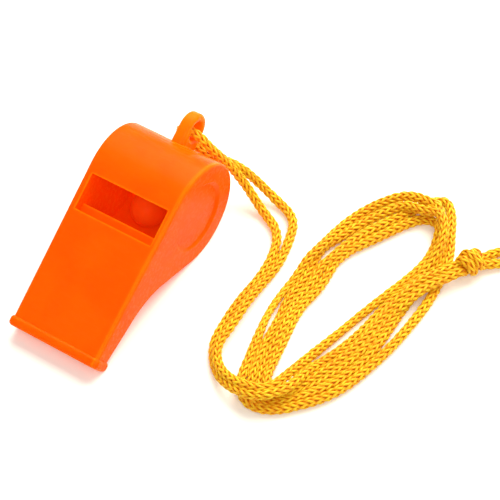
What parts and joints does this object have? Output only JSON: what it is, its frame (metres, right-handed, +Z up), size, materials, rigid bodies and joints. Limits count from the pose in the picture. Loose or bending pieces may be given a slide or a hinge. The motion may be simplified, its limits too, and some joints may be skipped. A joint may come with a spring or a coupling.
{
  "type": "pea whistle",
  "caption": "Flat-topped pea whistle in moulded plastic with a welded side cover and a loose pea, on a knitted neck cord that is laid in a hank and tied in a knot.",
  "frame": {"origin": "on the table, under the middle of the whistle's bounding box without its cord", "axes": "+X from the ring end towards the mouth, +Y towards the side cover and the cord, +Z up from the table; the barrel's axis is parallel to Y"},
  "size_m": [0.0711, 0.0795, 0.022],
  "materials": {
    "shell": "smooth glossy orange moulded styrene, slightly translucent",
    "pea": "orange moulded ball with faint moulding marks",
    "cord": "golden yellow knitted polyester cord"
  },
  "bodies": {
    "whistle": {"casing": "shell", "side_cover": "shell", "cord_near_strand": "cord", "cord_far_strand": "cord", "cord_hank": "cord", "cord_knot": "cord", "cord_tail_long": "cord", "cord_tail_short": "cord"},
    "pea": {"pea": "pea"}
  },
  "joints": [
    {"name": "pea_orbit", "type": "hinge", "parent": "whistle", "child": "pea", "pos_m": [-0.00929, 0, 0.011], "axis": [0, 1, 0], "continuous": true}
  ]
}
